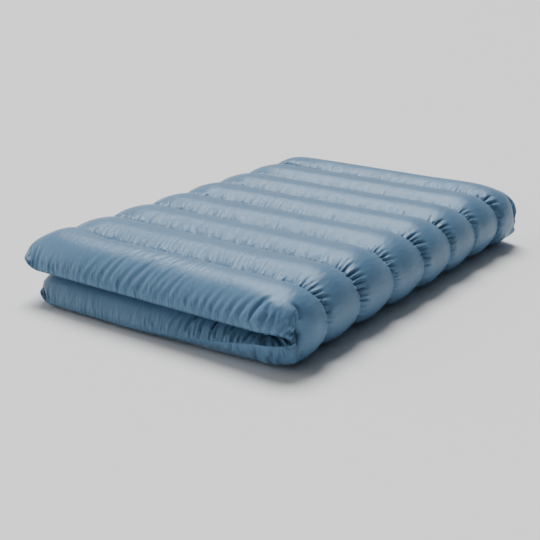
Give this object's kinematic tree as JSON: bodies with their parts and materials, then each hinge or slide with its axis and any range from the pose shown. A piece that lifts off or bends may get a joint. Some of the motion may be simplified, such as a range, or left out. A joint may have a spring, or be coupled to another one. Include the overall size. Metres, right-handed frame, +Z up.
{
  "type": "infrared sauna blanket",
  "caption": "Quilted infrared sauna blanket folded in half, with an opening upper half, a side zip and a power inlet at the foot.",
  "frame": {"origin": "centre of the folded blanket's footprint, on the surface it lies on", "axes": "+Y along the blanket from its head end to its foot end, +X from the open side to the fold, +Z up through its two layers"},
  "size_m": [1, 1.44, 0.2],
  "materials": {
    "shell_fabric": "satin coated nylon, steel blue",
    "lining_fabric": "satin lining, steel blue",
    "insulation": "loose polyester fibre",
    "wadding": "bonded polyester wadding",
    "carrier_cloth": "non-woven cloth",
    "heating_cable": "satin silicone",
    "reflective_foil": "bright foil",
    "black_plastic": "fine matt texture",
    "contact_metal": "polished",
    "screw_steel": "satin",
    "zip_tape": "woven tape",
    "zip_coil": "moulded coil",
    "zip_metal": "dark nickel",
    "closing_strip": "hook and loop pile"
  },
  "bodies": {
    "lower_half": {"fold_lead": "heating_cable", "fold_lining": "lining_fabric", "fold_padding": "insulation", "fold_shell": "shell_fabric", "foot_loop_strip": "closing_strip", "inlet_contact_1": "contact_metal", "inlet_contact_2": "contact_metal", "inlet_contact_3": "contact_metal", "inlet_contact_4": "contact_metal", "inlet_flange": "black_plastic", "inlet_housing": "black_plastic", "inlet_screw_1": "screw_steel", "inlet_screw_2": "screw_steel", "inlet_screw_3": "screw_steel", "inlet_screw_4": "screw_steel", "lower_heater_carrier": "carrier_cloth", "lower_heating_cable": "heating_cable", "lower_insulation_1": "insulation", "lower_insulation_2": "insulation", "lower_insulation_3": "insulation", "lower_insulation_4": "insulation", "lower_insulation_5": "insulation", "lower_insulation_6": "insulation", "lower_insulation_7": "insulation", "lower_insulation_8": "insulation", "lower_lining": "lining_fabric", "lower_outer_shell": "shell_fabric", "lower_reflector": "reflective_foil", "lower_temperature_sensor": "black_plastic", "lower_thermal_cutout": "black_plastic", "lower_wadding": "wadding", "lower_zip_chain": "zip_coil", "lower_zip_stop": "zip_metal", "lower_zip_tape": "zip_tape", "zip_box": "zip_metal"},
    "upper_half": {"upper_heater_carrier": "carrier_cloth", "upper_heating_cable": "heating_cable", "upper_insulation_1": "insulation", "upper_insulation_2": "insulation", "upper_insulation_3": "insulation", "upper_insulation_4": "insulation", "upper_insulation_5": "insulation", "upper_insulation_6": "insulation", "upper_insulation_7": "insulation", "upper_insulation_8": "insulation", "upper_lining": "lining_fabric", "upper_outer_shell": "shell_fabric", "upper_reflector": "reflective_foil", "upper_splice": "black_plastic", "upper_temperature_sensor": "black_plastic", "upper_thermal_cutout": "black_plastic", "upper_wadding": "wadding", "upper_zip_chain": "zip_coil", "upper_zip_stop": "zip_metal", "upper_zip_tape": "zip_tape", "foot_hook_strip": "closing_strip", "zip_pin": "zip_metal"},
    "zip_slider": {"zip_slider": "zip_metal"},
    "zip_pull": {"zip_pull": "zip_metal"}
  },
  "joints": [
    {"name": "fold_hinge", "type": "hinge", "parent": "lower_half", "child": "upper_half", "pos_m": [0.44, 0, 0.1], "axis": [0, 1, 0], "range_deg": [0, 178], "deforming": ["fold_shell", "fold_lining", "fold_padding", "fold_lead"]},
    {"name": "zip_slider_travel", "type": "slide", "parent": "lower_half", "child": "zip_slider", "axis": [0, -1, 0], "range_m": [0, 1.21]},
    {"name": "zip_pull_hinge", "type": "hinge", "parent": "zip_slider", "child": "zip_pull", "pos_m": [-0.45275, 0.608, 0.03895], "axis": [1, 0, 0], "range_deg": [0, 175]}
  ]
}
